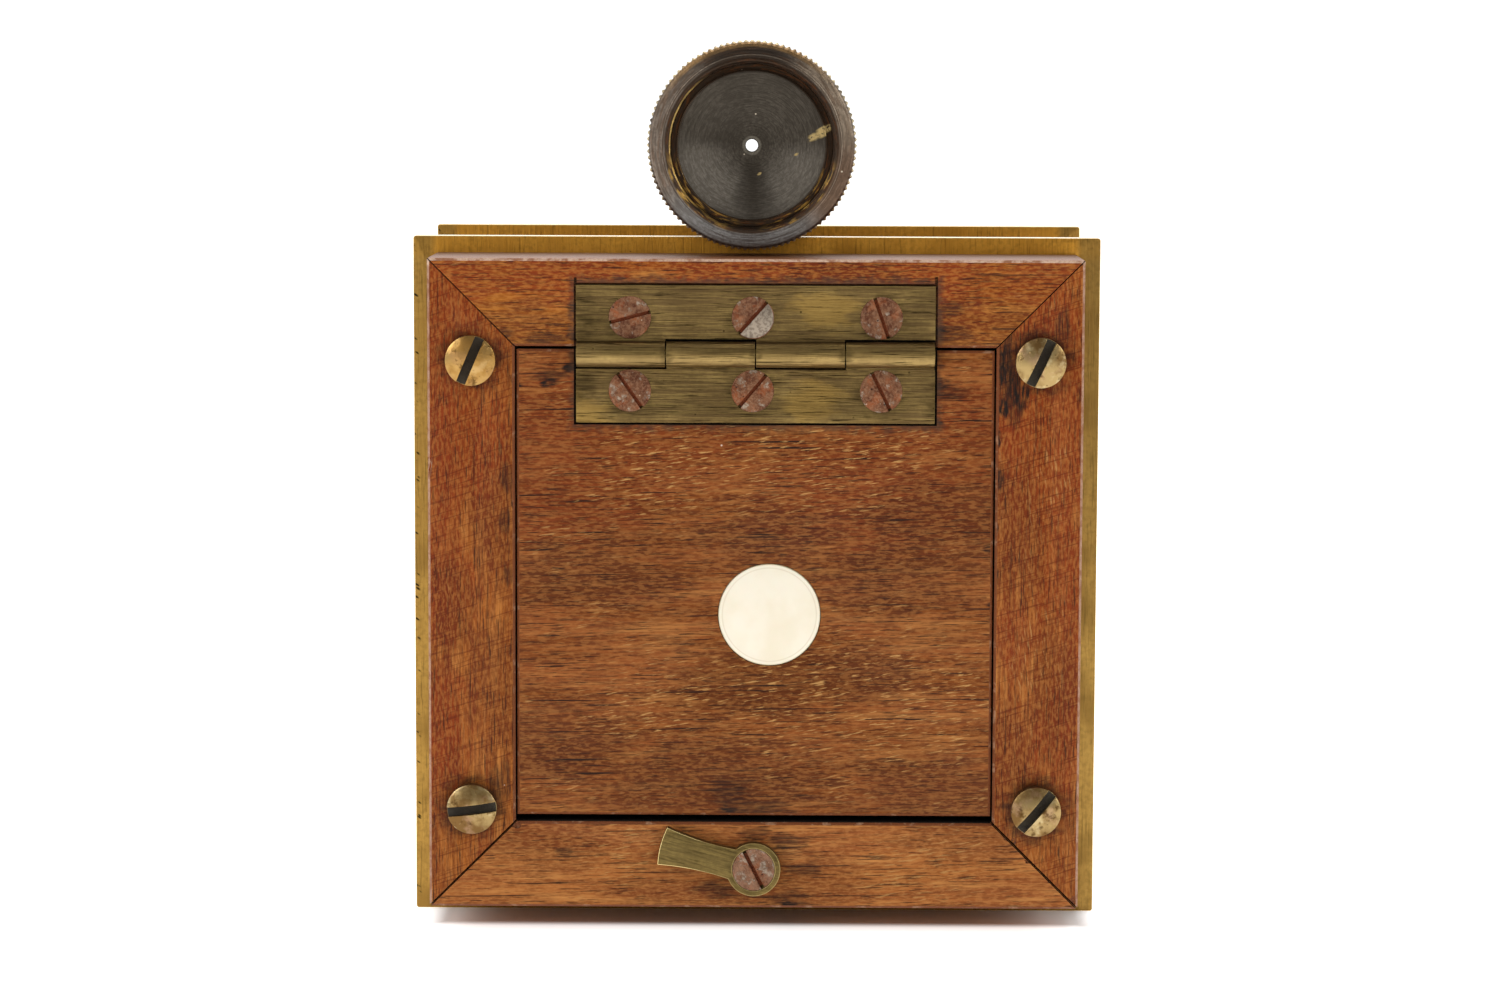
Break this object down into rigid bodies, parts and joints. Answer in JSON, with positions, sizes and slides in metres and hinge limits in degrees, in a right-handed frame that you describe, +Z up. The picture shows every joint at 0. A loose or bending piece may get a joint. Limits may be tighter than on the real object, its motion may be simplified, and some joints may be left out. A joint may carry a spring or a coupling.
{
  "type": "wet plate camera",
  "caption": "Small brass box camera for wet plates: two square plates, mitred wooden back with hinged door and turn catch, capped lens, peep finder and level.",
  "frame": {"origin": "centre of the stand socket's mouth, in the plane of the two brass plates' lower edges", "axes": "+Z up, +Y the way the lens looks, so the loading door faces -Y, and +X to the right as seen from the door side"},
  "size_m": [0.1, 0.107, 0.1278],
  "materials": {
    "plate_brass": "hand-filed and lacquered brass plate, dulled with age",
    "box_brass": "lacquered sheet brass with soldered corners",
    "lens_brass": "turned and lacquered brass",
    "aged_brass": "bare brass gone olive with age",
    "screw_brass": "turned brass screw heads, rubbed bright",
    "blackened_brass": "chemically blackened turned brass",
    "frame_wood": "oiled and varnished reddish hardwood",
    "door_wood": "oiled and varnished reddish hardwood, darker board",
    "rusty_steel": "hand-cut steel screws, rusted brown",
    "spring_steel": "tempered and blued spring strip",
    "bone": "polished bone, cream white",
    "velvet": "short dark cotton velvet",
    "clear_glass": "polished optical glass"
  },
  "bodies": {
    "camera": {"rear_plate": "plate_brass", "front_plate": "plate_brass", "body_shell": "box_brass", "stand_bush": "box_brass", "corner_posts": "box_brass", "lens_flange": "lens_brass", "lens_barrel": "lens_brass", "lens_hood": "lens_brass", "front_cell": "lens_brass", "rear_cell": "lens_brass", "level_case": "lens_brass", "front_retaining_ring": "lens_brass", "rear_retaining_ring": "lens_brass", "stop_ring": "lens_brass", "hinge_leaf_frame": "aged_brass", "hinge_pin": "aged_brass", "catch_washer": "aged_brass", "finder_post": "aged_brass", "back_screws": "screw_brass", "rear_plate_screws": "screw_brass", "front_plate_screws": "screw_brass", "bush_screws": "screw_brass", "flange_screws": "screw_brass", "finder_post_screws": "screw_brass", "level_screws": "screw_brass", "finder_tube": "blackened_brass", "finder_mask": "blackened_brass", "lens_stop": "blackened_brass", "back_rail_top": "frame_wood", "back_rail_bottom": "frame_wood", "back_stile_left": "frame_wood", "back_stile_right": "frame_wood", "hinge_screws_frame": "rusty_steel", "catch_screw": "rusty_steel", "door_seal": "velvet", "plate_corner_rests": "clear_glass", "front_glass": "clear_glass", "rear_glass": "clear_glass", "level_glass": "clear_glass"},
    "door": {"door_panel": "door_wood", "hinge_leaf_door": "aged_brass", "hinge_screws_door": "rusty_steel", "bone_disc": "bone", "pressure_spring": "spring_steel", "spring_screw": "screw_brass"},
    "catch": {"turn_catch": "aged_brass"},
    "cap": {"lens_cap": "lens_brass", "lens_cap_velvet": "velvet"},
    "eyepiece": {"eye_ring": "blackened_brass", "eye_disc": "blackened_brass"}
  },
  "joints": [
    {"name": "door_hinge", "type": "hinge", "parent": "camera", "child": "door", "pos_m": [0, -0.04085, 0.08355], "axis": [-1, 0, 0], "range_deg": [0, 170]},
    {"name": "catch_turn", "type": "hinge", "parent": "camera", "child": "catch", "pos_m": [0, -0.0419, 0.00995], "axis": [0, 1, 0], "range_deg": [-25, 175]},
    {"name": "lens_cap_off", "type": "slide", "parent": "camera", "child": "cap", "axis": [0, 1, 0], "range_m": [0, 0.03]},
    {"name": "eyepiece_turn", "type": "hinge", "parent": "camera", "child": "eyepiece", "pos_m": [-0.0007, -0.02905, 0.11285], "axis": [0, -1, 0], "range_deg": [0, 360]}
  ]
}
